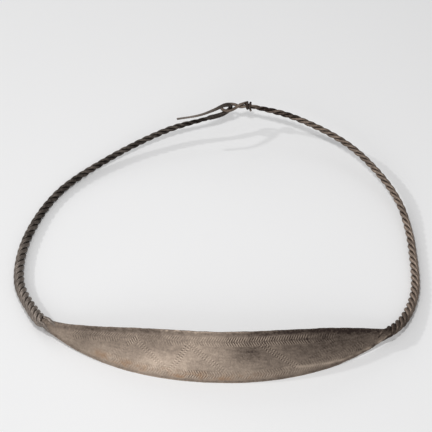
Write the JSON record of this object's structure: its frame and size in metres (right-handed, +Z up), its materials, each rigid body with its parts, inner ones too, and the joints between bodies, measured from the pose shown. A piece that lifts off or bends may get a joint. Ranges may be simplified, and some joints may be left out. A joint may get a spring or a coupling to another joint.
{
  "type": "torc",
  "caption": "Neck ring of tarnished silver: a punched crescent plate in front, arms of twisted wire and a hook-and-eye clasp at the back.",
  "frame": {"origin": "middle of the ring's bounding box, on the surface that the ring lies on", "axes": "+X from the left arm to the right arm, +Y from the crescent plate to the clasp, +Z up from the surface"},
  "size_m": [0.1722, 0.1462, 0.0164],
  "materials": {
    "plate_silver": "hammered silver with a warm brown tarnish, darker in the punched ornament",
    "left_wire_silver": "drawn silver wire under a nearly black tarnish",
    "right_wire_silver": "drawn silver wire, brown tarnish, rubbed paler on its outer sides"
  },
  "bodies": {
    "root": {"front_plate": "plate_silver", "left_wire_with_hook": "left_wire_silver", "left_wire_2": "left_wire_silver", "left_wire_3": "left_wire_silver", "right_wire_with_eye": "right_wire_silver", "right_wire_2": "right_wire_silver", "right_wire_3": "right_wire_silver"}
  },
  "joints": []
}
